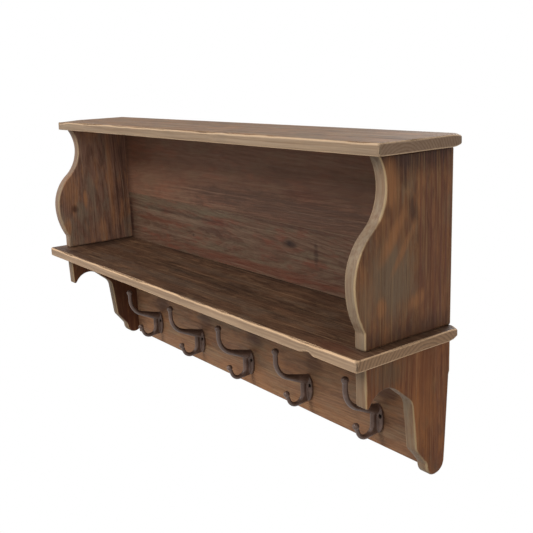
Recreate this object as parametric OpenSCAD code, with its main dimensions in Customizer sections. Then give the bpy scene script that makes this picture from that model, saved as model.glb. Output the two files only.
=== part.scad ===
// Wall rack: a scalloped display shelf over a rail with five double coat hooks.
// The front is -Y, the back lies on the wall plane Y = 0, and +Z is up. The origin is on the wall,
// midway between the two keyholes that the rack hangs from.

/* [Overall] */
// Length of the top board and of the shelf
length = 850; // [700:10:1200]
// How far the top board and the shelf reach past the sides at each end
end_reach = 14; // [6:1:40]
// Clear height between the shelf and the top board
bay_h = 223; // [200:1:320]
// Height of the brackets below the shelf
bracket_h = 183; // [180:1:260]
// Height of the hook rail below the shelf
rail_h = 185; // [176:1:260]

/* [Boards] */
// Thickness of the top board and the shelf
board_t = 15; // [12:0.5:24]
// Thickness of the sides and the brackets
side_t = 18; // [14:0.5:24]
// Thickness of the two back boards
back_t = 14; // [12:0.5:20]
// Thickness of the hook rail
rail_t = 14; // [14:0.5:24]
// Depth of the top board from the wall
top_depth = 138; // [130:1:200]
// Depth of the shelf from the wall
shelf_depth = 175; // [168:1:240]
// Height of the lower back board
lower_back_h = 92; // [60:1:130]
// Radius of the worn upper front edge of the top board and the shelf
worn_edge_r = 4; // [2:0.5:6]
// Radius of their other front and end edges
plain_edge_r = 2.5; // [1:0.5:5]
// Radius of their corners, seen from above
corner_r = 5; // [2:0.5:12]

/* [Scalloped sides] */
// Depth of the sides and the brackets where they meet the shelf
side_depth = 148; // [135:1:158]
// Height of the straight neck above the shelf
neck_h = 22; // [10:1:40]
// Depth of the side at its belly
belly_depth = 163.5; // [160:0.5:168]
// Height of the belly above the shelf
belly_z = 79; // [60:1:95]
// Depth of the side at its waist
waist_depth = 113.5; // [95:0.5:120]
// Distance of the waist below the top board
waist_drop = 37; // [25:1:45]
// Share of the S curve that belongs to the belly
belly_share = 0.545; // [0.45:0.005:0.6]

/* [Brackets] */
// Depth of the rear leg's front edge where the arch turns down into it
leg_depth = 66.5; // [62:0.5:72]
// Depth of the rear leg's front edge at its knee
shin_depth = 60.5; // [56:0.5:62]
// Width of the round foot
foot_w = 34; // [30:0.5:38]
// How far the back of the foot stands off the wall
heel_set = 6; // [0:0.5:8]
// Distance below the shelf at which the back edge starts to leave the wall
heel_drop = 46; // [30:1:90]
// Radius of the back edge there
heel_r = 120; // [40:5:200]
// Height of the middle of the hollow over the foot, from the bottom
cove_h = 16; // [14:1:22]
// Radius of the hollow over the foot
cove_r = 10; // [7:0.5:14]
// Height of the middle of the knee over the hollow, from the bottom
knee_h = 50.5; // [45:0.5:58]
// Radius of the knee
knee_r = 14; // [10:0.5:18]
// Distance of the crown of the arch below the shelf
arch_drop = 39.5; // [36:0.5:46]
// Radius of the crown of the arch
arch_r = 30; // [26:0.5:32]
// Distance of the arch's crown behind the front edge
arch_set = 34; // [33:0.5:38]
// Radius where the arch turns down into the rear leg
turn_r = 22; // [16:0.5:24]
// Distance of the middle of that turn below the shelf
turn_drop = 80; // [74:1:88]
// Distance of the front tip's middle behind the front edge
tip_set = 4.5; // [4:0.5:7]
// Distance of the front tip's middle below the shelf
tip_drop = 54; // [50:0.5:58]
// Radius of the front tip
tip_r = 3; // [2:0.5:4]

/* [Coat hooks] */
// Distance of the end hooks from the sides' inner faces
hook_inset = 93; // [60:1:130]
// Distance of the hook plates' centre below the shelf
hook_drop = 144; // [135:1:150]
// Width of the oval plate
plate_w = 22; // [21:0.5:30]
// Height of the oval plate
plate_h = 44; // [42:1:56]
// Thickness of the plate at its rim
plate_t = 3.5; // [2.5:0.25:4]
// Thickness of the plate at the crown of its face
crown_t = 7; // [6:0.25:8]
// Thickness of the web between the plate, the upper arm and the curl
web_t = 5.5; // [4:0.25:7]

/* [Upper arm of a hook] */
// Distance of the knob from the rail
knob_reach = 63; // [58:0.5:68]
// Height of the knob above the plate's centre
knob_rise = 73; // [68:0.5:80]
// Radius of the knob
knob_r = 5.5; // [5.25:0.25:7]
// Height at which the arm leaves the plate, above the plate's centre
arm_z = 12.5; // [12:0.5:14]
// Slope of the arm, in degrees
arm_slope = 20; // [16:1:24]
// Radius of the arm's bend
bend_r = 34; // [28:1:38]
// Height of the arm at the plate
arm_root_h = 17; // [14:0.5:18]
// Width of the arm at the plate
arm_root_w = 13; // [11:0.5:13.5]
// Height of the arm where its bend begins
arm_mid_h = 8.8; // [7:0.2:10]
// Width of the arm where its bend begins
arm_mid_w = 11; // [9:0.5:12]
// Thickness of the arm below the knob
arm_tip_h = 6.4; // [5:0.2:8]
// Width of the arm below the knob
arm_tip_w = 9; // [7:0.5:10]

/* [Lower curl of a hook] */
// Distance of the curl's centre from the rail
curl_reach = 26; // [25:0.5:28]
// Drop of the curl's centre below the plate's centre
curl_drop = 5.5; // [4:0.5:7]
// Radius of the curl, along its middle
curl_r = 15; // [14:0.5:16]
// Slope at which the curl runs up to its knob, in degrees
curl_lean = 70; // [60:1:85]
// Height of the knob above the plate's centre
curl_knob_z = 0.5; // [-2:0.5:4]
// Radius of the knob
curl_knob_r = 5; // [4.5:0.25:5.5]
// Thickness of the curl at the plate
curl_root_h = 9.6; // [8:0.2:10]
// Width of the curl at the plate
curl_root_w = 8; // [7:0.25:8]
// Thickness of the curl below its knob
curl_tip_h = 6.2; // [5:0.2:8]
// Width of the curl below its knob
curl_tip_w = 6.6; // [5:0.2:8]

/* [Fastenings] */
// Distance of each hook screw from the plate's middle
screw_set = 6.75; // [6.5:0.25:7.5]
// Height of the hook screws above the plate's centre
screw_rise = 5.5; // [0:0.5:6]
// Height of the screw heads above the rail
screw_seat = 4; // [3.5:0.25:4.5]
// Radius of the screw's shank
shank_r = 1.4; // [1.2:0.05:1.6]
// Radius of the screw's countersunk head
head_r = 2.6; // [2.2:0.05:2.7]
// Length of the screw
screw_len = 15; // [10:0.5:16]
// Radius of the wooden dowels
dowel_r = 3; // [2.5:0.25:4]
// How deep a dowel goes into an edge or an end
dowel_in = 18; // [12:1:25]
// How deep a dowel goes into a face
dowel_blind = 8; // [5:0.5:9]
// Distance of a board's end dowels from its edges
dowel_edge = 24; // [12:1:28]
// Distance between the two dowels in an end of the hook rail
rail_dowel_gap = 70; // [40:1:76]
// Distance of the two keyholes from the sides' inner faces
keyhole_inset = 93; // [60:1:150]
// Distance of the keyholes' round openings below the top board
keyhole_drop = 33; // [25:1:60]
// Radius of a keyhole's round opening
keyhole_r = 5; // [4:0.25:6]
// Radius of a keyhole's narrow slot
slot_r = 2.5; // [2:0.25:3]
// How far a wall screw slides up in the slot
slot_run = 12; // [8:1:18]
// Depth of the keyholes
keyhole_depth = 10; // [8:0.5:11]
// Thickness of the wood that holds the wall screw's head
lip_t = 4; // [3:0.5:5]

/* [Clearances] */
// Gap round a dowel
dowel_gap = 0.05; // [0.02:0.01:0.15]
// Gap round a screw
screw_gap = 0.15; // [0.1:0.05:0.3]
// Gap past the end of a dowel or a screw
end_gap = 0.5; // [0.2:0.1:2]

/* [Hidden] */
$fn = 48;

wood = "#8a6a4e";
dowel_wood = "#c9a877";
iron = "#3f302b";
black_steel = "#201c1b";

hooks = 5;
arc_step = 4;            // degrees between the points of an outline's arcs
over = 1;                // how far a cut runs past the face it opens
knob_fn = 24;            // facets round a hook's knob
plate_fn = 40;           // facets round a hook's plate

side_x = length / 2 - end_reach;          // outer faces of the sides
bay_x = side_x - side_t;                  // inner faces of the sides
joint_x = side_x - side_t / 2;            // middle of the sides
shelf_z = keyhole_drop - bay_h;           // top face of the shelf
top_z = shelf_z + bay_h;                  // underside of the top board
under_z = shelf_z - board_t;              // underside of the shelf
hook_pitch = 2 * (bay_x - hook_inset) / (hooks - 1);
cone_z = screw_seat - head_r + shank_r;   // where a screw head's cone begins, above the rail
waist_z = bay_h - waist_drop;
hook_z = under_z - hook_drop;
upper_back_h = bay_h - lower_back_h;

// ---- Outlines, in depth from the wall and height ----

function on_circle(c, r, a) = [c[0] + r * cos(a), c[1] + r * sin(a)];

// Points along an arc from angle a to angle b
function arc(c, r, a, b) =
    let (n = max(1, ceil(abs(b - a) / arc_step)))
    [for (i = [0:n]) on_circle(c, r, a + (b - a) * i / n)];

// The outward normal of the line that touches circle p and then circle q of a closed outline.
// A circle is [x, y, r]: r is above 0 where the outline bulges, below 0 where it hollows, 0 at a corner.
function touch_angle(p, q) =
    let (d = [q[0] - p[0], q[1] - p[1]])
    atan2(d[1], d[0]) - acos(max(-1, min(1, (p[2] - q[2]) / norm(d))));

function turn(a, b, r) =
    let (t = ((b - a) % 360 + 360) % 360)
    r > 0 ? t : t - 360;

// A closed outline, anticlockwise, of arcs round the given circles and the lines that touch them
function belt(circles) =
    let (n = len(circles))
    [for (i = [0:n - 1])
        let (c = circles[i],
            a = touch_angle(circles[(i + n - 1) % n], c),
            b = touch_angle(c, circles[(i + 1) % n]))
        each c[2] == 0 ? [[c[0], c[1]]] : arc(c, c[2], a, a + turn(a, b, c[2]))];

// Radius of the arc that leaves an upright edge at one depth and reaches another over a given height
function lead_in_r(deep, high) = (deep * deep + high * high) / (2 * deep);

// A neck, a belly that swells from it, and a waist that flares again up to the top board
function side_outline() =
    let (swell = belly_depth - side_depth,
        low_r = lead_in_r(swell, belly_z - neck_h),
        s_r = lead_in_r(belly_depth - waist_depth, waist_z - belly_z),
        belly_r = s_r * belly_share,
        waist_r = s_r - belly_r,
        low_c = [belly_depth - low_r, belly_z],
        belly_c = [belly_depth - belly_r, belly_z],
        waist_c = [waist_depth + waist_r, waist_z],
        bend = atan2(waist_z - belly_z, waist_c[0] - belly_c[0]))
    concat([[0, 0], [side_depth, 0]],
        arc(low_c, low_r, -asin((belly_z - neck_h) / low_r), 0),
        arc(belly_c, belly_r, arc_step, bend),
        arc(waist_c, waist_r, 180 + bend - arc_step, 180 - asin(waist_drop / waist_r)),
        [[0, bay_h]]);

// A short blunt front leg, an arch, and a long rear leg whose knee steps in to a round foot
function bracket_outline() =
    let (foot_r = foot_w / 2,
        foot_depth = heel_set + foot_w)
    belt([[0, 0, 0],
        [heel_r, -heel_drop, heel_r],
        [heel_set + foot_r, foot_r - bracket_h, foot_r],
        [foot_depth + cove_r, cove_h - bracket_h, -cove_r],
        [shin_depth - knee_r, knee_h - bracket_h, knee_r],
        [leg_depth + turn_r, -turn_drop, -turn_r],
        [side_depth - arch_set, -arch_drop - arch_r, -arch_r],
        [side_depth - tip_set, -tip_drop, tip_r],
        [side_depth, 0, 0]]);

// ---- Wooden boards ----

// Stands an outline in the plane of a side, with its thickness centred on x
module stand(x, t) {
    translate([x + t / 2, 0, 0])
        rotate([90, 0, -90])
            linear_extrude(t)
                children();
}

// A board with worn edges at its front and ends, from its underside up
module worn_board(depth) {
    half = length / 2;
    intersection() {
        linear_extrude(board_t)
            polygon(belt([[-half, 0, 0],
                [corner_r - half, corner_r - depth, corner_r],
                [half - corner_r, corner_r - depth, corner_r],
                [half, 0, 0]]));
        stand(0, length)
            polygon(belt([[0, 0, 0],
                [depth - plain_edge_r, plain_edge_r, plain_edge_r],
                [depth - worn_edge_r, board_t - worn_edge_r, worn_edge_r],
                [0, board_t, 0]]));
        rotate([90, 0, 0])
            linear_extrude(depth)
                polygon(belt([
                    [plain_edge_r - half, plain_edge_r, plain_edge_r],
                    [half - plain_edge_r, plain_edge_r, plain_edge_r],
                    [half - plain_edge_r, board_t - plain_edge_r, plain_edge_r],
                    [plain_edge_r - half, board_t - plain_edge_r, plain_edge_r]]));
    }
}

// Places of the upright dowels: two in each side, given as depths from the wall
top_dowel_y = [dowel_edge, waist_depth - dowel_edge];
shelf_dowel_y = [dowel_edge, side_depth - dowel_edge];

module at_sides(depths) {
    for (x = [-joint_x, joint_x], y = depths)
        translate([x, -y, 0])
            children();
}

// Level dowels in the ends of a board that spans between the sides, at the given heights
module at_ends(heights, t) {
    for (s = [-1, 1], z = heights)
        translate([s * bay_x, -t / 2, z])
            rotate([0, s * 90, 0])
                children();
}

module back_ends() {
    seam_z = shelf_z + lower_back_h;
    at_ends([shelf_z + dowel_edge, seam_z - dowel_edge, seam_z + dowel_edge, top_z - dowel_edge], back_t)
        children();
}

module rail_ends() {
    at_ends([under_z - dowel_edge, under_z - dowel_edge - rail_dowel_gap], rail_t)
        children();
}

// A round bar from z = low to z = high
module bar(r, low, high) {
    translate([0, 0, low])
        cylinder(r = r, h = high - low);
}

module dowel_hole(low, high) {
    bar(dowel_r + dowel_gap, low, high);
}

module top_board() {
    color(wood)
        difference() {
            translate([0, 0, top_z])
                worn_board(top_depth);
            at_sides(top_dowel_y)
                dowel_hole(top_z - over, top_z + dowel_blind + end_gap);
        }
}

module shelf_board() {
    color(wood)
        difference() {
            translate([0, 0, under_z])
                worn_board(shelf_depth);
            at_sides(shelf_dowel_y)
                dowel_hole(under_z - over, shelf_z + over);
        }
}

module upper_side(s) {
    color(wood)
        difference() {
            translate([0, 0, shelf_z])
                stand(s * joint_x, side_t)
                    polygon(side_outline());
            at_sides(top_dowel_y)
                dowel_hole(top_z - dowel_in - end_gap, top_z + over);
            at_sides(shelf_dowel_y)
                dowel_hole(shelf_z - over, shelf_z + dowel_in + end_gap);
            back_ends()
                dowel_hole(-over, dowel_blind + end_gap);
        }
}

module lower_bracket(s) {
    color(wood)
        difference() {
            translate([0, 0, under_z])
                stand(s * joint_x, side_t)
                    polygon(bracket_outline());
            at_sides(shelf_dowel_y)
                dowel_hole(under_z - dowel_in - end_gap, under_z + over);
            rail_ends()
                dowel_hole(-over, dowel_blind + end_gap);
        }
}

// A plain board between the two sides, from height z
module span(z, h, t) {
    translate([-bay_x, -t, z])
        cube([2 * bay_x, t, h]);
}

// A routed hanger: a round opening, a slot above it, and a wider groove behind the slot's lips
module keyhole() {
    rotate([90, 0, 0]) {
        bar(keyhole_r, -over, keyhole_depth);
        slot(slot_r, -over, keyhole_depth);
        slot(keyhole_r, lip_t, keyhole_depth);
    }
}

module slot(r, low, high) {
    translate([0, slot_run, 0])
        bar(r, low, high);
    translate([-r, 0, low])
        cube([2 * r, slot_run, high - low]);
}

module back_board_upper() {
    color(wood)
        difference() {
            span(shelf_z + lower_back_h, upper_back_h, back_t);
            back_ends()
                dowel_hole(-dowel_in - end_gap, over);
            for (s = [-1, 1])
                translate([s * (bay_x - keyhole_inset), 0, 0])
                    keyhole();
        }
}

module back_board_lower() {
    color(wood)
        difference() {
            span(shelf_z, lower_back_h, back_t);
            back_ends()
                dowel_hole(-dowel_in - end_gap, over);
        }
}

module hook_rail() {
    color(wood)
        difference() {
            span(under_z - rail_h, rail_h, rail_t);
            rail_ends()
                dowel_hole(-dowel_in - end_gap, over);
            for (i = [1:hooks])
                at_hook(i)
                    at_screws()
                        bar(shank_r + screw_gap, screw_seat - screw_len - end_gap, over);
        }
}

// ---- Coat hooks ----

// A hook's own frame: on the rail's face at the plate's centre, with z forward, x across and y up
module at_hook(i) {
    translate([(i - (hooks + 1) / 2) * hook_pitch, -rail_t, hook_z])
        rotate([90, 0, 0])
            children();
}

module at_screws() {
    for (s = [-1, 1])
        translate([s * screw_set, screw_rise, 0])
            children();
}

// A station of a rod is [forward, up, direction in degrees, height, width]
function blend(a, b, k) = a + (b - a) * k;

// The upper arm: straight and thick at the plate, then bent up to its knob
arm_steps = 5;
bend_steps = 8;
arm_ahead = knob_reach - bend_r * (1 - sin(arm_slope));
bend_c = [knob_reach - bend_r, arm_z + arm_ahead * tan(arm_slope) + bend_r * cos(arm_slope)];
arm_line = [for (i = [0:arm_steps - 1])
    let (k = i / arm_steps)
    [arm_ahead * k, arm_z + arm_ahead * k * tan(arm_slope), arm_slope,
        blend(arm_root_h, arm_mid_h, k), blend(arm_root_w, arm_mid_w, k)]];
arm_bend = [for (i = [0:bend_steps])
    let (k = i / bend_steps, a = blend(arm_slope, 90, k))
    [each on_circle(bend_c, bend_r, a - 90), a,
        blend(arm_mid_h, arm_tip_h, k), blend(arm_mid_w, arm_tip_w, k)]];
arm_end = [[knob_reach, knob_rise, 90, arm_tip_h, arm_tip_w]];

// The lower curl: down from the arm along the web, round, and up to its knob
curl_steps = 12;
curl_c = [curl_reach, -curl_drop];
curl_stop = 270 + curl_lean;
curl_out = on_circle(curl_c, curl_r, curl_stop);
curl_knob = [curl_out[0] + (curl_knob_z - curl_out[1]) / tan(curl_lean), curl_knob_z];
curl_start = [[curl_reach - curl_r, arm_z, 270, curl_root_h, curl_root_w]];
curl_line = [for (i = [0:curl_steps])
    let (k = i / curl_steps, a = blend(180, curl_stop, k))
    [each on_circle(curl_c, curl_r, a), a + 90,
        blend(curl_root_h, curl_tip_h, k), blend(curl_root_w, curl_tip_w, k)]];
curl_end = [[each curl_knob, curl_stop + 90, curl_tip_h, curl_tip_w]];

// A rod of oval section through the stations
module rod(stations) {
    sides = 14;
    n = len(stations);
    rings = [for (s = stations, j = [0:sides - 1])
        let (a = 360 * j / sides, up = s[3] / 2 * cos(a), across = s[4] / 2 * sin(a))
        [across, s[1] + up * cos(s[2]), s[0] - up * sin(s[2])]];
    wall = [for (i = [0:n - 2], j = [0:sides - 1])
        let (k = (j + 1) % sides, p = i * sides, q = p + sides)
        each [[p + j, p + k, q + k], [p + j, q + k, q + j]]];
    start = [for (j = [1:sides - 2]) [0, j + 1, j]];
    last = (n - 1) * sides;
    end = [for (j = [1:sides - 2]) [last, last + j, last + j + 1]];
    polyhedron(points = rings, faces = concat(wall, start, end));
}

// A round casting with a domed face, drawn out to an oval
module hook_plate() {
    half = plate_w / 2;
    dome_steps = 5;
    dome_r = lead_in_r(crown_t - plate_t, half);
    dome_span = asin(half / dome_r);
    scale([1, plate_h / plate_w, 1])
        rotate_extrude($fn = plate_fn)
            polygon(concat([[0, 0], [half, 0]],
                [for (i = [dome_steps:-1:0])
                    on_circle([0, crown_t - dome_r], dome_r, 90 - dome_span * i / dome_steps)]));
}

// The flat web that fills the corner between the plate, the arm and the middle line of the curl
module hook_web() {
    foot_a = 250;         // how far round the curl the web reaches, in degrees
    rotate([0, -90, 0])
        linear_extrude(web_t, center = true)
            difference() {
                hull() {
                    translate([0, over - plate_h / 2])
                        square([over, arm_z + plate_h / 2 - over]);
                    translate([0, -curl_drop])
                        square([curl_reach - curl_r, arm_z + curl_drop]);
                    translate(on_circle(curl_c, curl_r, foot_a))
                        circle(d = curl_tip_h);
                }
                translate(curl_c)
                    circle(r = curl_r);
            }
}

module coat_hook(i) {
    color(iron)
        at_hook(i)
            difference() {
                union() {
                    hook_plate();
                    hook_web();
                    rod(concat(arm_line, arm_bend, arm_end));
                    rod(concat(curl_start, curl_line, curl_end));
                    translate([0, knob_rise, knob_reach])
                        sphere(r = knob_r, $fn = knob_fn);
                    translate([0, curl_knob[1], curl_knob[0]])
                        sphere(r = curl_knob_r, $fn = knob_fn);
                }
                translate([0, 0, -plate_h])
                    linear_extrude(plate_h)
                        square(2 * plate_h, center = true);
                at_screws() {
                    bar(shank_r + screw_gap, -over, crown_t);
                    screw_head(screw_gap);
                    bar(head_r + screw_gap, screw_seat, crown_t);
                }
            }
}

// The cone of a countersunk head, with a gap round it
module screw_head(gap) {
    translate([0, 0, cone_z])
        cylinder(r1 = shank_r + gap, r2 = head_r + gap, h = head_r - shank_r);
}

module hook_screws() {
    color(black_steel)
        for (i = [1:hooks])
            at_hook(i)
                at_screws() {
                    screw_head(0);
                    bar(shank_r, screw_seat - screw_len, cone_z);
                }
}

// ---- Dowels ----

module top_dowels() {
    color(dowel_wood)
        at_sides(top_dowel_y)
            bar(dowel_r, top_z - dowel_in, top_z + dowel_blind);
}

module shelf_dowels() {
    color(dowel_wood)
        at_sides(shelf_dowel_y)
            bar(dowel_r, under_z - dowel_in, shelf_z + dowel_in);
}

module back_board_dowels() {
    color(dowel_wood)
        back_ends()
            bar(dowel_r, -dowel_in, dowel_blind);
}

module rail_dowels() {
    color(dowel_wood)
        rail_ends()
            bar(dowel_r, -dowel_in, dowel_blind);
}

top_board();
shelf_board();
upper_side(-1);  // upper_side_left
upper_side(1);  // upper_side_right
back_board_upper();
back_board_lower();
lower_bracket(-1);  // lower_bracket_left
lower_bracket(1);  // lower_bracket_right
hook_rail();
coat_hook(1);  // coat_hook_1
coat_hook(2);  // coat_hook_2
coat_hook(3);  // coat_hook_3
coat_hook(4);  // coat_hook_4
coat_hook(5);  // coat_hook_5
hook_screws();
top_dowels();
shelf_dowels();
back_board_dowels();
rail_dowels();
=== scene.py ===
import math

import bmesh
import bpy
from mathutils import Matrix, Vector, noise


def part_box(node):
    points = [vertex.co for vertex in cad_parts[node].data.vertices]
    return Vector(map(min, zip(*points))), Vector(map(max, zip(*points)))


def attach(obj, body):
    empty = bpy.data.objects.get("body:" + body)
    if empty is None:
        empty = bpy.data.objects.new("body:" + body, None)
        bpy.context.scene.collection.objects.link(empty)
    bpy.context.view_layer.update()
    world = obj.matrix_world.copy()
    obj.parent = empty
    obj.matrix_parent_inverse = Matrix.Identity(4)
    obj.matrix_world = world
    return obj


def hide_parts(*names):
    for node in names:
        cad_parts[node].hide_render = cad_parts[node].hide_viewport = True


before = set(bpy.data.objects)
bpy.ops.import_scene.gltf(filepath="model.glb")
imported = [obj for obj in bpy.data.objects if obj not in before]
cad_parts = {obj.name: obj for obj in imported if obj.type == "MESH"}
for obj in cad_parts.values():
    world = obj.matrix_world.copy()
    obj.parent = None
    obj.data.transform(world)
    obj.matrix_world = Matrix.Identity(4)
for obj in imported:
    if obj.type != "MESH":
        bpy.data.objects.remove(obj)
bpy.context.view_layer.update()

MM = 0.001
X, Y, Z = Vector((1, 0, 0)), Vector((0, 1, 0)), Vector((0, 0, 1))

SHARP_EDGE = math.radians(35)   # corners of a board turned more than this are rounded over
CREASE = math.radians(38)       # edges turned more than this stay crisp in the shading
SAME_WAY = 0.985                # the cosine of 10 degrees: two directions closer than this are one


# ---- Camera, light and stage ----

def place_camera():
    """A camera to the right of the rack and a little above it, as the photograph was taken. It was
    found from the straight edges of the two long boards."""
    place = (1.02918, -0.75284, 0.12802)
    azimuth, elevation, roll = math.radians(52.867), math.radians(13.869), math.radians(-2.158)
    focal_length, image_width = 795.1, 533      # in pixels
    sensor_width = 36                           # in mm
    back = Vector((
        math.sin(azimuth) * math.cos(elevation),
        -math.cos(azimuth) * math.cos(elevation),
        math.sin(elevation)))
    level = Vector((math.cos(azimuth), math.sin(azimuth), 0))
    upright = back.cross(level)
    right = math.cos(roll) * level + math.sin(roll) * upright
    up = -math.sin(roll) * level + math.cos(roll) * upright
    camera = bpy.data.objects.new("camera", bpy.data.cameras.new("camera"))
    bpy.context.scene.collection.objects.link(camera)
    turn = Matrix((right, up, back)).transposed().to_4x4()
    camera.matrix_world = Matrix.Translation(place) @ turn
    camera.data.sensor_width = sensor_width
    camera.data.lens = sensor_width * focal_length / image_width
    bpy.context.scene.camera = camera


def soft_lamp(name, place, target, size, power):
    """A round soft lamp that looks at a target. Lengths are in metres, power in watts."""
    lamp = bpy.data.lights.new(name, "AREA")
    lamp.shape = "DISK"
    lamp.size = size
    lamp.energy = power
    holder = bpy.data.objects.new(name, lamp)
    bpy.context.scene.collection.objects.link(holder)
    aim = (Vector(target) - Vector(place)).to_track_quat("-Z", "Y")
    holder.matrix_world = Matrix.Translation(place) @ aim.to_matrix().to_4x4()


def add(tree, kind, inputs=None, **settings):
    """Adds a shader node. An input is a value, or the socket that it comes from."""
    made = tree.nodes.new("ShaderNode" + kind)
    for key, value in settings.items():
        setattr(made, key, value)
    for key, value in (inputs or {}).items():
        if isinstance(value, bpy.types.NodeSocket):
            tree.links.new(value, made.inputs[key])
        else:
            made.inputs[key].default_value = value
    return made


def seen_directly(tree):
    """1 for what the camera sees, also in a reflection or through glass, and 0 for light on the rack."""
    path = add(tree, "LightPath")
    seen = path.outputs["Is Camera Ray"]
    for other in ("Is Glossy Ray", "Is Transmission Ray"):
        seen = add(tree, "Math", {0: seen, 1: path.outputs[other]}, operation="MAXIMUM").outputs[0]
    return seen


def light_room():
    """A white room: a large soft lamp in front and above, weaker ones at the sides, and a dim sky
    that looks white."""
    sky_light, sky_seen = 0.42, 1.0
    world = bpy.data.worlds.new("white room")
    bpy.context.scene.world = world
    world.use_nodes = True
    tree = world.node_tree
    tree.nodes.clear()
    strength = add(tree, "MapRange", {"Value": seen_directly(tree), "To Min": sky_light, "To Max": sky_seen})
    sky = add(tree, "Background", {"Color": (1, 1, 1, 1), "Strength": strength.outputs[0]})
    add(tree, "OutputWorld", {"Surface": sky.outputs[0]})
    middle = (0, -0.08, -0.15)
    soft_lamp("key", (-0.6, -2.6, 1.9), middle, size=1.4, power=74)
    soft_lamp("side fill", (2.6, -1.2, 0.7), middle, size=1.6, power=16)
    soft_lamp("back fill", (-0.8, 2.6, 1.2), middle, size=2.0, power=40)


def lay_floor():
    """A pale floor, about as far below as the rack hangs above a real one."""
    half_side, floor_level = 12, -1.4
    mesh = bpy.data.meshes.new("floor")
    sheet = bmesh.new()
    bmesh.ops.create_grid(sheet, x_segments=1, y_segments=1, size=half_side)
    bmesh.ops.translate(sheet, verts=sheet.verts, vec=(0, 0, floor_level))
    sheet.to_mesh(mesh)
    sheet.free()
    floor = bpy.data.objects.new("floor", mesh)
    bpy.context.scene.collection.objects.link(floor)
    paint, tree = new_material("white studio floor")
    matt = add(tree, "BsdfDiffuse", {"Color": (0.6, 0.6, 0.6, 1)})
    glow = add(tree, "Emission", {"Color": (1, 1, 1, 1), "Strength": 1.0})
    both = add(tree, "MixShader", {0: seen_directly(tree), 1: matt.outputs[0], 2: glow.outputs[0]})
    add(tree, "OutputMaterial", {"Surface": both.outputs[0]})
    mesh.materials.append(paint)


# ---- What the finishes share ----

def linear(code):
    """An sRGB hex colour as linear red, green, blue and alpha."""
    parts = [int(code[i:i + 2], 16) / 255 for i in (1, 3, 5)]
    return tuple(c / 12.92 if c <= 0.04045 else ((c + 0.055) / 1.055) ** 2.4 for c in parts) + (1,)


def new_material(name):
    material = bpy.data.materials.new(name)
    material.use_nodes = True
    material.node_tree.nodes.clear()
    return material, material.node_tree


def mm(*values):
    """Millimetres as metres."""
    return tuple(v * MM for v in values)


# ---- Stained fir ----

def parted_round_knots(tree, place, grain, knots):
    """The grain parts round a knot, so places near one are drawn in towards it. Gives the drawn
    places, and how far each knot is."""
    across_grain = tuple(Vector((1, 1, 1)) - grain)
    drawn, distances = place, []
    for centre, size in knots:
        away = add(tree, "VectorMath", {0: place, 1: mm(*centre)}, operation="SUBTRACT")
        far = add(tree, "VectorMath", {0: away.outputs[0]}, operation="LENGTH").outputs["Value"]
        pull = add(tree, "MapRange", {
            "Value": far, "From Min": 5 * size * MM, "From Max": 0, "To Max": -0.45},
            interpolation_type="SMOOTHSTEP")
        sideways = add(tree, "VectorMath", {0: away.outputs[0], 1: across_grain}, operation="MULTIPLY")
        shift = add(tree, "VectorMath", {0: sideways.outputs[0], 3: pull.outputs[0]}, operation="SCALE")
        drawn = add(tree, "VectorMath", {0: shift.outputs[0], 1: drawn}, operation="ADD").outputs[0]
        distances.append(far)
    return drawn, distances


def along_the_grain(tree, place, grain, heart, seed):
    """Places in mm, with x along the grain and the heart on the x axis. Slow waves, 4 mm high and
    250 mm long, bend every line of the wood. Each seed is another stretch of the log."""
    turn = (0, 0, 0) if grain is X else (0, math.pi / 2, 0)
    board = add(tree, "Mapping", {
        "Vector": place, "Location": (seed * 37.0, -heart[0], -heart[1]),
        "Rotation": turn, "Scale": (1 / MM, 1 / MM, 1 / MM)})
    slow = add(tree, "Mapping", {"Vector": board.outputs[0], "Scale": (1 / 250, 1 / 70, 1 / 70)})
    waves = add(tree, "TexNoise", {"Vector": slow.outputs[0], "Scale": 1.0, "Detail": 2.0})
    sway = add(tree, "VectorMath", {0: waves.outputs["Color"], 1: (0.5, 0.5, 0.5)}, operation="SUBTRACT")
    bent = add(tree, "VectorMath", {0: sway.outputs[0], 1: (0, 11, 11), 2: board.outputs[0]},
               operation="MULTIPLY_ADD")
    return bent.outputs[0]


def growth_rings(tree, wood, ring):
    """Rings round the heart, which the tree's taper draws into arches. 0 in the pale early wood,
    which turns to 1 in the dark late wood and stops short."""
    length = add(tree, "SeparateXYZ", {0: wood}).outputs["X"]
    across = add(tree, "VectorMath", {0: wood, 1: (0, 1, 1)}, operation="MULTIPLY")
    radius = add(tree, "VectorMath", {0: across.outputs[0]}, operation="LENGTH").outputs["Value"]
    taper = add(tree, "Math", {0: length, 1: 0.04, 2: radius}, operation="MULTIPLY_ADD")
    count = add(tree, "Math", {0: taper.outputs[0], 1: 1 / ring}, operation="MULTIPLY")
    phase = add(tree, "Math", {0: count.outputs[0]}, operation="FRACT").outputs[0]
    darkens = add(tree, "MapRange", {"Value": phase, "From Min": 0.3, "From Max": 0.9},
                  interpolation_type="SMOOTHSTEP")
    stops = add(tree, "MapRange", {"Value": phase, "From Min": 1.0, "From Max": 0.9})
    return add(tree, "Math", {0: darkens.outputs[0], 1: stops.outputs[0]}, operation="MULTIPLY").outputs[0]


def clouds_along_grain(tree, wood):
    """Four noises drawn out along the grain, each with three channels: patches of stain, mottle,
    streaks 4 mm wide, and fibres, drawn 0.9 mm wide, which is as fine as the render shows."""
    clouds = []
    for length, width, detail in ((90, 26, 4.0), (36, 12, 4.0), (300, 4, 4.0), (45, 0.9, 3.0)):
        drawn_out = add(tree, "Mapping", {"Vector": wood, "Scale": (1 / length, 1 / width, 1 / width)})
        cloud = add(tree, "TexNoise", {
            "Vector": drawn_out.outputs[0], "Scale": 1.0, "Detail": detail, "Roughness": 0.65})
        clouds.append(add(tree, "SeparateColor", {0: cloud.outputs["Color"]}).outputs)
    return clouds


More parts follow.
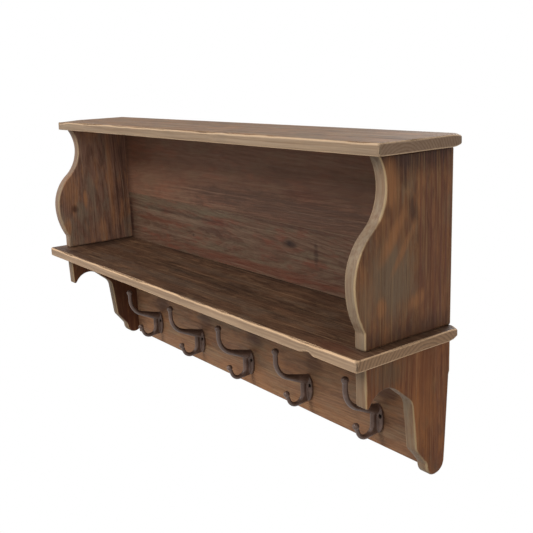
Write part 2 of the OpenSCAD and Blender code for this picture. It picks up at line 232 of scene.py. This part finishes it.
def frayed_marks(tree, place, face, marks, clouds):
    """The marks, with edges that two clouds fray along the grain, as layers of colour."""
    fray = add(tree, "Math", {0: clouds[0], 1: clouds[1]}, operation="ADD")
    frayed = add(tree, "MapRange", {
        "Value": fray.outputs[0], "From Min": 0.8, "From Max": 1.2, "To Min": -0.4, "To Max": 0.4})
    layers = []
    for centre, tilt, radii, tone, most in marks:
        spot = add(tree, "Mapping", {
            "Vector": place, "Location": mm(*centre), "Rotation": tuple(tilt * a for a in face),
            "Scale": mm(*radii)}, vector_type="TEXTURE")
        near = add(tree, "TexGradient", {"Vector": spot.outputs[0]}, gradient_type="SPHERICAL").outputs[1]
        torn = add(tree, "Math", {0: frayed.outputs[0], 1: near, 2: near}, operation="MULTIPLY_ADD")
        layers.append((torn.outputs[0], tone, 0, 0.75, most))
    return layers


def stained_fir(name, seed, grain, face, heart, tones, ring=3.0, knots=(), marks=()):
    """Fir, brushed, stained in brown, red and grey, rubbed through at the arrises and waxed. Its
    growth rings run as long arched lines on the faces and as arcs on the ends, under fine dark
    fibres. grain and face are the axes that the grain and the broad faces' normal lie along, heart
    is where the middle of the tree lay and ring the width of its rings. A knot is its place and
    size, and a mark, which is a patch of stain or of painted shade, its place, its turn in radians,
    its radii, its colour in tones and its strength. All lengths are in mm. tones are the colours of
    early and late wood, of dusk, warm, grey, pale and rust stain, of shade, which is painted shade,
    of knots, which is the darkest stain too, of sawn edges, of end grain and of arrises worn bare.
    Some marks in dusk and knot are painted shade as well."""
    material, tree = new_material(name)
    place = add(tree, "TexCoord").outputs["Object"]
    drawn, distances = parted_round_knots(tree, place, grain, knots)
    wood = along_the_grain(tree, drawn, grain, heart, seed)
    late_wood = growth_rings(tree, wood, ring)
    patch, mottle, streak, fibre = clouds_along_grain(tree, wood)

    # Each layer is where it lies, its colour, where its edge begins and ends, and its strength
    layers = [
        (late_wood, "late", 0, 1, 0.6), (streak[0], "late", 0.48, 0.64, 0.4),
        (patch[0], "dusk", 0.48, 0.66, 0.5), (patch[1], "warm", 0.5, 0.66, 0.6),
        (patch[2], "grey", 0.5, 0.66, 0.6), (mottle[0], "dusk", 0.5, 0.68, 0.25),
        (mottle[1], "warm", 0.52, 0.7, 0.3), (mottle[2], "pale", 0.54, 0.7, 0.2)]
    layers += [(far, "knot", 1.7 * size * MM, 0, 0.75) for far, (_, size) in zip(distances, knots)]
    layers += frayed_marks(tree, place, face, marks, (mottle[0], streak[0]))
    layers += [
        (streak[1], "dusk", 0.54, 0.72, 0.4), (streak[2], "pale", 0.54, 0.7, 0.4),
        (fibre[0], "dusk", 0.5, 0.72, 0.6), (fibre[1], "pale", 0.55, 0.78, 0.45)]
    colour = linear(tones["early"])
    for value, tone, low, high, most in layers:
        mask = add(tree, "MapRange", {"Value": value, "From Min": low, "From Max": high, "To Max": most},
                   interpolation_type="SMOOTHSTEP")
        colour = add(tree, "Mix", {0: mask.outputs[0], 6: colour, 7: linear(tones[tone])},
                     data_type="RGBA").outputs[2]

    # Cut edges and end grain, told apart by which way the surface faces, taken over 3 mm so that one
    # runs softly into the next. Late wood draws its arcs on the ends
    around = add(tree, "Bevel", {"Radius": 3 * MM}, samples=8).outputs[0]
    facing = []
    for axis in (face, grain):
        aligned = add(tree, "VectorMath", {0: around, 1: tuple(axis)}, operation="DOT_PRODUCT")
        facing.append(add(tree, "Math", {0: aligned.outputs["Value"], 1: 2}, operation="POWER").outputs[0])
    facewise, endwise = facing
    arcs = add(tree, "Math", {0: late_wood, 1: mottle[2]}, operation="MULTIPLY")
    for value, low, high, lines, tone, most in (
            (facewise, 0.7, 0.3, streak[0], "sawn", 0.7),
            (endwise, 0.5, 0.9, arcs.outputs[0], "ends", 0.75)):
        mask = add(tree, "MapRange", {"Value": value, "From Min": low, "From Max": high},
                   interpolation_type="SMOOTHSTEP")
        lined = add(tree, "Mix", {0: lines, 6: linear(tones[tone]), 7: linear(tones["late"])},
                    data_type="RGBA")
        tinted = add(tree, "Mix", {0: most, 6: colour, 7: lined.outputs[2]}, data_type="RGBA")
        colour = add(tree, "Mix", {0: mask.outputs[0], 6: colour, 7: tinted.outputs[2]},
                     data_type="RGBA").outputs[2]

    # Arrises rubbed back to bare wood: most where the surface looks halfway between face and edge,
    # but not at an upright's ends, which stand in joints
    in_joint = 1 if grain is Z else 0
    edgewise = add(tree, "Math", {0: 1, 1: facewise}, operation="SUBTRACT")
    open_to_hands = add(tree, "Math", {0: endwise, 1: -in_joint, 2: edgewise.outputs[0]},
                        operation="MULTIPLY_ADD")
    halfway = add(tree, "Math", {0: facewise, 1: open_to_hands.outputs[0]}, operation="MULTIPLY")
    handled = add(tree, "Math", {0: patch[1], 1: streak[2]}, operation="ADD")
    rubbed = add(tree, "Math", {0: halfway.outputs[0], 1: handled.outputs[0]}, operation="MULTIPLY")
    mask = add(tree, "MapRange", {
        "Value": rubbed.outputs[0], "From Min": 0.06, "From Max": 0.24, "To Max": 0.8},
        interpolation_type="SMOOTHSTEP")
    bare = add(tree, "Mix", {0: fibre[2], 6: linear(tones["sawn"]), 7: linear(tones["worn"])},
               data_type="RGBA")
    colour = add(tree, "Mix", {0: mask.outputs[0], 6: colour, 7: bare.outputs[2]},
                 data_type="RGBA").outputs[2]

    # Wax: a satin sheen, duller over the open fibres. Brushing leaves the late wood proud
    sheen = add(tree, "MapRange", {
        "Value": streak[1], "From Min": 0.3, "From Max": 0.7, "To Min": 0.5, "To Max": 0.7})
    relief = add(tree, "Math", {0: fibre[0], 1: 0.8, 2: late_wood}, operation="MULTIPLY_ADD")
    bump = add(tree, "Bump", {"Height": relief.outputs[0], "Strength": 0.5, "Distance": 0.25 * MM})
    surface = add(tree, "BsdfPrincipled", {
        "Base Color": colour, "Roughness": sheen.outputs[0], "IOR": 1.5,
        "Specular IOR Level": 0.2, "Normal": bump.outputs[0]})
    add(tree, "OutputMaterial", {"Surface": surface.outputs[0]})
    return material


# ---- Metal and beech ----

def lacquered_iron():
    """Grey cast iron, sand cast, brown lacquer rubbed back: a soft sheen over a grainy skin with
    lighter, slightly purple patches, about 14 mm across, where hands have worn it. The grains are
    drawn 1.6 mm wide, which is as fine as the render shows."""
    material, tree = new_material("lacquered cast iron")
    place = add(tree, "TexCoord").outputs["Object"]
    cloud = add(tree, "TexNoise", {"Vector": place, "Scale": 1 / (14 * MM), "Detail": 4.0}).outputs[0]
    sand = add(tree, "TexNoise", {"Vector": place, "Scale": 1 / (1.6 * MM), "Detail": 3.0}).outputs[0]
    colour = linear("#5c4539")
    for value, code, low, high in ((cloud, "#80665a", 0.45, 0.7), (sand, "#35231b", 0.5, 0.75)):
        mask = add(tree, "MapRange", {"Value": value, "From Min": low, "From Max": high, "To Max": 0.6},
                   interpolation_type="SMOOTHSTEP")
        colour = add(tree, "Mix", {0: mask.outputs[0], 6: colour, 7: linear(code)},
                     data_type="RGBA").outputs[2]
    shine = add(tree, "MapRange", {"Value": cloud, "To Min": 0.34, "To Max": 0.56})
    bump = add(tree, "Bump", {"Height": sand, "Strength": 0.35, "Distance": 0.3 * MM})
    iron = add(tree, "BsdfPrincipled", {
        "Base Color": colour, "Roughness": shine.outputs[0], "Metallic": 0.1, "Normal": bump.outputs[0]})
    add(tree, "OutputMaterial", {"Surface": iron.outputs[0]})
    return material


def black_oxide_steel():
    """Hardened steel, blackened in a hot bath and oiled: near black with a tight highlight."""
    material, tree = new_material("black oxide steel")
    place = add(tree, "TexCoord").outputs["Object"]
    cloud = add(tree, "TexNoise", {"Vector": place, "Scale": 1 / (2 * MM), "Detail": 3.0}).outputs[0]
    shine = add(tree, "MapRange", {"Value": cloud, "To Min": 0.3, "To Max": 0.5})
    colour = add(tree, "Mix", {0: cloud, 6: linear("#1d1918"), 7: linear("#3a302c")}, data_type="RGBA")
    steel = add(tree, "BsdfPrincipled", {
        "Base Color": colour.outputs[2], "Roughness": shine.outputs[0], "Metallic": 0.8})
    add(tree, "OutputMaterial", {"Surface": steel.outputs[0]})
    return material


def bare_beech():
    """Beech dowel rod, turned and left bare: pale, dull, with short dark flecks 2 mm long."""
    material, tree = new_material("bare beech")
    place = add(tree, "TexCoord").outputs["Object"]
    flecks = add(tree, "TexNoise", {"Vector": place, "Scale": 1 / (2 * MM), "Detail": 2.0}).outputs[0]
    mask = add(tree, "MapRange", {"Value": flecks, "From Min": 0.55, "From Max": 0.7})
    colour = add(tree, "Mix", {0: mask.outputs[0], 6: linear("#cfae84"), 7: linear("#a5794e")},
                 data_type="RGBA")
    bump = add(tree, "Bump", {"Height": flecks, "Strength": 0.3, "Distance": 0.1 * MM})
    beech = add(tree, "BsdfPrincipled", {
        "Base Color": colour.outputs[2], "Roughness": 0.7, "Normal": bump.outputs[0]})
    add(tree, "OutputMaterial", {"Surface": beech.outputs[0]})
    return material


# ---- Wooden pieces ----

def copy_of(node):
    """A bmesh of a CAD node with its loose triangles joined and its flat faces whole again."""
    shape = bmesh.new()
    shape.from_mesh(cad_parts[node].data)
    bmesh.ops.remove_doubles(shape, verts=shape.verts, dist=0.005 * MM)
    bmesh.ops.dissolve_limit(shape, angle_limit=math.radians(0.5), verts=shape.verts, edges=shape.edges)
    return shape


def finish_piece(shape, name, node, material, broad=None):
    """Makes the piece, smooth but for its sharp edges and its broad flat faces, whose normal is given,
    puts it in its node's place and lets it ride."""
    for face in shape.faces:
        face.smooth = broad is None or abs(face.normal.dot(broad)) < SAME_WAY
    for edge in shape.edges:
        edge.smooth = len(edge.link_faces) == 2 and edge.calc_face_angle() < CREASE
    mesh = bpy.data.meshes.new(name)
    shape.to_mesh(mesh)
    shape.free()
    mesh.materials.append(material)
    piece = bpy.data.objects.new(name, mesh)
    bpy.context.scene.collection.objects.link(piece)
    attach(piece, "root")
    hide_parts(node)


def is_outside(face):
    """False for the small faces of a dowel hole, which is hollow, so that its rim stays sharp."""
    small = 10 * MM * MM
    return face.calc_area() > small or all(edge.is_convex for edge in face.edges)


def is_rounded(normal, grain, face):
    """True on an arris, which looks neither along a broad face's normal nor straight out of an edge.
    An upright's edges curve, so there only its turn away from the broad faces tells."""
    out = abs(normal.dot(face))
    if face is X:
        return 0.03 < out < SAME_WAY
    return max(out, abs(normal.dot(grain)), abs(normal.dot(face.cross(grain)))) < SAME_WAY


def worn_wood(node, material, grain, face, arris=2.4, bite=0.8, step=4.0, knocks=()):
    """A board with its arrises rounded over and knocked about, but crisp along the wall. arris is
    their radius, bite the deepest dent and step the length between the places where they change. A
    knock is a place that lost more wood, the way the wood gave, its radius and its depth. All
    lengths are in mm."""
    on_wall, fades_by_wall = 1, 12      # edges on the wall stay sharp, and dents fade out towards it
    long_dent, short_dent = 60, 22      # the two lengths of dent that lie over each other
    shape = copy_of(node)
    sharp = [e for e in shape.edges
             if len(e.link_faces) == 2 and e.calc_face_angle() > SHARP_EDGE
             and all(is_outside(f) for f in e.link_faces)
             and min(v.co.y for v in e.verts) < -on_wall * MM]
    bmesh.ops.bevel(shape, geom=sharp, offset=arris * MM, segments=4, profile=0.5, affect="EDGES",
                    material=-1)
    low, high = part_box(node)
    across = face.cross(grain)
    for axis, spacing in ((grain, step), (across, 2 * step)):
        start, stop = sorted((low.dot(axis), high.dot(axis)))
        cuts = int((stop - start) / (spacing * MM))
        for i in range(1, cuts):
            spot = axis * (start + (stop - start) * i / cuts)
            geometry = shape.verts[:] + shape.edges[:] + shape.faces[:]
            bmesh.ops.bisect_plane(shape, geom=geometry, dist=0.01 * MM, plane_co=spot, plane_no=axis)
    shape.normal_update()
    rounded = [v for v in shape.verts if all(is_rounded(f.normal, grain, face) for f in v.link_faces)]
    for vert in rounded:
        dent = max(0, 0.3 + noise.noise(vert.co / (long_dent * MM))
                   + 0.4 * noise.noise(vert.co / (short_dent * MM)))
        at_wall = max(0, 1 + vert.co.y / (fades_by_wall * MM))
        vert.co -= vert.normal * dent * bite * MM * (1 - at_wall)
    for centre, inward, reach, depth in knocks:
        for vert in shape.verts:
            near = (vert.co - Vector(mm(*centre))).length / (reach * MM)
            if near < 1:
                vert.co += Vector(inward).normalized() * depth * MM * (1 - near * near) ** 2
    for vert in shape.verts:
        vert.co = Vector([min(max(c, a), b) for c, a, b in zip(vert.co, low, high)])
    finish_piece(shape, "worn_" + node, node, material, face)


# ---- Iron pieces ----

def casting(node, material):
    """A hook as it leaves the mould: its arms, web and plate flow into each other."""
    skin_size, smoothings = 0.65, 5     # the size in mm, which keeps the webs and eyes whole
    shape = copy_of(node)
    mesh = bpy.data.meshes.new(node + "_rough")
    shape.to_mesh(mesh)
    shape.free()
    rough = bpy.data.objects.new(node + "_rough", mesh)
    bpy.context.scene.collection.objects.link(rough)
    skin = rough.modifiers.new("skin", "REMESH")
    skin.mode = "VOXEL"
    skin.voxel_size = skin_size * MM
    bpy.context.view_layer.update()
    ready = rough.evaluated_get(bpy.context.evaluated_depsgraph_get())
    shape = bmesh.new()
    shape.from_mesh(ready.to_mesh())
    bpy.data.objects.remove(rough)
    for _ in range(smoothings):
        bmesh.ops.smooth_vert(shape, verts=shape.verts, factor=0.5,
                              use_axis_x=True, use_axis_y=True, use_axis_z=True)
    finish_piece(shape, "cast_" + node, node, material)


# ---- The rack ----

place_camera()
light_room()
lay_floor()

# In mm: the faces that carry marks, the ends of the long boards, how deep a mark reaches into a
# board, and the middles of the hooks
BACK, SHELF, LEFT_INSIDE, RIGHT_OUTSIDE = -14, -190, -393, 411
END = 425
DEEP = 20
HOOKS = range(-300, 301, 150)
RUST = "#5e3526"

top_fir = stained_fir(
    "stained fir, top", seed=1, grain=X, face=Z, heart=(-100, 8), ring=4.0,
    tones=dict(
        early="#6f4e2f", late="#56381e", dusk="#33200f", warm="#8a5d32", grey="#6b573d", pale="#a8814f",
        rust=RUST, knot="#2f1408", sawn="#c8b297", ends="#826955", worn="#e0b890"),
    knots=(((109, -138, 41), 3),),
    marks=(((109, -138, 41), 0, (9, 6, 7), "rust", 0.5),))
shelf_fir = stained_fir(
    "stained fir, shelf", seed=2, grain=X, face=Z, heart=(-60, -240), ring=5.0,
    tones=dict(
        early="#563c2b", late="#3f2719", dusk="#23140c", warm="#694a35", grey="#5a483a", pale="#a58260",
        rust=RUST, knot="#20100a", sawn="#e3c19e", ends="#967455", worn="#eac092"),
    marks=(
        ((0, -135, SHELF), 0, (330, 16, DEEP), "grey", 0.5),
        ((0, -92, SHELF), 0, (380, 16, DEEP), "dusk", 0.6),
        ((-60, -60, SHELF), 0, (260, 12, DEEP), "grey", 0.4),
        # Painted shade along the back of the shelf, where it meets the back board
        ((0, -14, SHELF), 0, (460, 22, DEEP), "dusk", 0.7),
        ((-380, -80, SHELF), 0, (40, 70, DEEP), "dusk", 0.7),
        ((370, -160, SHELF), 0, (60, 16, DEEP), "rust", 0.5),
        ((END, -166, -198), 0, (DEEP, 12, 10), "knot", 0.6),
        ((END, -80, -199), 0, (DEEP, 90, 4), "knot", 0.6)))
back_upper_fir = stained_fir(
    "stained fir, upper back", seed=3, grain=X, face=Y, heart=(45, -30),
    tones=dict(
        early="#7c5945", late="#724f3d", dusk="#694a3a", warm="#895842", grey="#7c604a", pale="#8e6e58",
        rust=RUST, knot="#614132", shade="#4a352a", sawn="#4a352a", ends="#4a352a", worn="#7a5f4b"),
    knots=(((-354, BACK, -53), 2),),
    marks=(
        # Painted shade over the lower part of the board, deepest towards the seam
        ((130, BACK, -84), 0, (560, DEEP, 52), "shade", 0.85),
        # Dark wax in the left corner, with painted corner shade
        ((-388, BACK, -30), 0, (12, DEEP, 90), "dusk", 0.8),
        ((150, BACK, -50), 0, (70, DEEP, 12), "rust", 0.4),
        ((-330, BACK, -20), 0, (60, DEEP, 24), "rust", 0.35),
        # Painted shade, light, over the upper right of the board
        ((200, BACK, -30), 0, (300, DEEP, 30), "shade", 0.3)))
back_lower_fir = stained_fir(
    "stained fir, lower back", seed=4, grain=X, face=Y, heart=(60, -150),
    tones=dict(
        early="#634c3c", late="#4f3527", dusk="#3b231b", warm="#6e3b2b", grey="#625543", pale="#836c59",
        rust=RUST, knot="#20110e", sawn="#4a352a", ends="#4a352a", worn="#8a6f57"),
    knots=(((-159, BACK, -153), 2.5), ((113, BACK, -128), 3.5)),
    marks=(
        ((-200, BACK, -106), 0, (340, DEEP, 8), "grey", 0.5),
        ((160, BACK, -98), 0, (300, DEEP, 10), "dusk", 0.6),
        ((0, BACK, -180), 0, (460, DEEP, 12), "rust", 0.75),
        ((-200, BACK, -128), 0, (330, DEEP, 5), "pale", 0.35),
        ((-180, BACK, -120), 0, (300, DEEP, 5), "knot", 0.4),
        ((-250, BACK, -160), 0, (200, DEEP, 5), "pale", 0.35),
        ((-300, BACK, -140), 0, (120, DEEP, 8), "rust", 0.6),
        ((174, BACK, -136), 0, (7, DEEP, 24), "knot", 0.6),
        ((113, BACK, -128), 0, (26, DEEP, 8), "knot", 0.8),
        # Dark wax in the left corner, with painted corner shade
        ((-388, BACK, -150), 0, (11, DEEP, 70), "dusk", 0.9)))
rail_fir = stained_fir(
    "stained fir, rail", seed=5, grain=X, face=Y, heart=(50, -300),
    tones=dict(
        early="#8f694d", late="#75543b", dusk="#4e3023", warm="#9c6c47", grey="#7e6952", pale="#a78662",
        rust=RUST, sawn="#5f4033", ends="#5f4033", worn="#8f6a52"),
    marks=(
        ((0, BACK, -380), 0, (460, DEEP, 22), "warm", 0.4),
        ((-60, BACK, -340), 0, (150, DEEP, 14), "rust", 0.3),
        ((250, BACK, -290), 0, (60, DEEP, 20), "rust", 0.3),
        ((-250, BACK, -280), 0, (60, DEEP, 24), "rust", 0.3),
        ((0, BACK, -222), 0, (460, DEEP, 30), "grey", 0.45),
        # Painted shadow: a dark smudge beside each hook plate, where the hook's shadow falls on the rail
        *(((x + 14, BACK, -306), 0, (30, DEEP, 28), "dusk", 0.6) for x in HOOKS)))
left_fir = stained_fir(
    "stained fir, left side", seed=6, grain=Z, face=X, heart=(-90, 460),
    tones=dict(
        early="#98735f", late="#755242", dusk="#4f352a", warm="#c1885c", grey="#90816d", pale="#c2a489",
        knot="#3e2019", sawn="#978a74", ends="#574132", worn="#b08f67"),
    marks=(
        ((LEFT_INSIDE, -120, -122), 0, (DEEP, 16, 24), "grey", 0.6),
        ((LEFT_INSIDE, -107, -100), 0, (DEEP, 6, 22), "warm", 0.8),
        ((LEFT_INSIDE, -131, -117), 0.4, (DEEP, 9, 12), "knot", 0.75),
        # Dark wax in the corner by the back board, with painted corner shade beside it
        ((LEFT_INSIDE, -24, -80), 0, (DEEP, 9, 190), "knot", 0.5),
        ((LEFT_INSIDE, -39, -80), 0, (DEEP, 3, 190), "knot", 0.5),
        ((LEFT_INSIDE, -52, -80), 0, (DEEP, 9, 150), "warm", 0.5),
        ((LEFT_INSIDE, -140, -70), 0, (DEEP, 16, 60), "warm", 0.5),
        ((LEFT_INSIDE, -148, -150), 0, (DEEP, 10, 24), "warm", 0.6)))
right_fir = stained_fir(
    "stained fir, right side", seed=7, grain=Z, face=X, heart=(-60, -470), ring=6.0,
    tones=dict(
        early="#775133", late="#5c3421", dusk="#472a1c", warm="#92623d", grey="#6f5a45", pale="#9d7b53",
        rust=RUST, knot="#371e13", sawn="#aca188", ends="#574132", worn="#cfa56f"),
    marks=(
        # Redder stain towards the wall, with painted shade there too
        ((RIGHT_OUTSIDE, -30, -100), 0, (DEEP, 36, 150), "rust", 0.45),
        ((RIGHT_OUTSIDE, -70, -190), 0, (DEEP, 160, 34), "knot", 0.6),
        # Painted shadow under the top board's overhang
        ((RIGHT_OUTSIDE, -70, 33), 0, (DEEP, 160, 40), "knot", 0.95),
        ((RIGHT_OUTSIDE, -104, -112), 0.2, (DEEP, 50, 66), "grey", 0.95),
        ((RIGHT_OUTSIDE, -148, -135), 0, (DEEP, 16, 40), "grey", 0.6),
        ((RIGHT_OUTSIDE, -103, -62), -0.6, (DEEP, 12, 50), "warm", 0.8),
        ((RIGHT_OUTSIDE, -86, -80), -0.6, (DEEP, 7, 46), "warm", 0.6),
        ((RIGHT_OUTSIDE, -108, -2), 0, (DEEP, 18, 46), "warm", 0.8),
        ((RIGHT_OUTSIDE, -121, -143), 0, (DEEP, 11, 18), "warm", 0.8),
        ((RIGHT_OUTSIDE, -62, -144), 0.5, (DEEP, 22, 14), "warm", 0.75),
        ((RIGHT_OUTSIDE, -69, -34), 0.4, (DEEP, 12, 24), "knot", 0.8),
        ((RIGHT_OUTSIDE, -84, 2), 0.4, (DEEP, 10, 18), "knot", 0.65),
        # Fine red lines beside the wall
        *(((RIGHT_OUTSIDE, y, -70), 0, (DEEP, 2.2, 170), "rust", 0.75) for y in range(-56, 0, 9)),
        ((RIGHT_OUTSIDE, -111, -31), 0.4, (DEEP, 9, 12), "knot", 0.4)))
bracket_fir = stained_fir(
    "stained fir, brackets", seed=8, grain=Z, face=X, heart=(-40, -460), ring=6.0,
    tones=dict(
        early="#794a2b", late="#552915", dusk="#452314", warm="#905a2f", grey="#624a33", pale="#976d46",
        sawn="#a0967c", ends="#574132", worn="#b8905f"),
    marks=(
        ((RIGHT_OUTSIDE, -110, -225), 0, (DEEP, 48, 32), "grey", 0.7),
        ((RIGHT_OUTSIDE, -48, -290), 0, (DEEP, 34, 130), "warm", 0.3),
        ((RIGHT_OUTSIDE, -62, -300), 0, (DEEP, 10, 70), "warm", 0.7),
        ((LEFT_INSIDE, -60, -300), 0, (24, 130, 150), "dusk", 0.8)))

# Knocks: the top board gave at its left front corner, the shelf lost a chip from its lower front
# arris, and both wore round at their right-hand ends by the wall
worn_wood("top_board", top_fir, X, Z, knocks=(
    ((-END, -138, 48), (1, 1, -1), 50, 3.0),
    ((END, 0, 48), (-1, 0, -1), 12, 3.0),
    ((END, 0, 33), (-1, 0, 1), 12, 3.0)))
worn_wood("shelf_board", shelf_fir, X, Z, knocks=(
    ((337, -175, -205), (0, 1, 1), 14, 3.5),
    ((END, 0, -190), (-1, 0, -1), 12, 3.5),
    ((END, 0, -205), (-1, 0, 1), 12, 3.5)))
worn_wood("back_board_upper", back_upper_fir, X, Y, arris=0.6, bite=0.2, step=40)
worn_wood("back_board_lower", back_lower_fir, X, Y, arris=0.6, bite=0.2, step=40)
worn_wood("hook_rail", rail_fir, X, Y, arris=1.0, bite=0.3)
worn_wood("upper_side_left", left_fir, Z, X, arris=3.0)
worn_wood("upper_side_right", right_fir, Z, X, arris=3.0)
worn_wood("lower_bracket_left", bracket_fir, Z, X, arris=2.2)
worn_wood("lower_bracket_right", bracket_fir, Z, X, arris=2.2)

iron = lacquered_iron()
for number in range(1, len(HOOKS) + 1):
    casting(f"coat_hook_{number}", iron)

for nodes, finish in (
        (("hook_screws",), black_oxide_steel()),
        (("top_dowels", "shelf_dowels", "back_board_dowels", "rail_dowels"), bare_beech())):
    for node in nodes:
        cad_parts[node].data.materials.clear()
        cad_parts[node].data.materials.append(finish)

bpy.context.scene.view_settings.view_transform = "Standard"
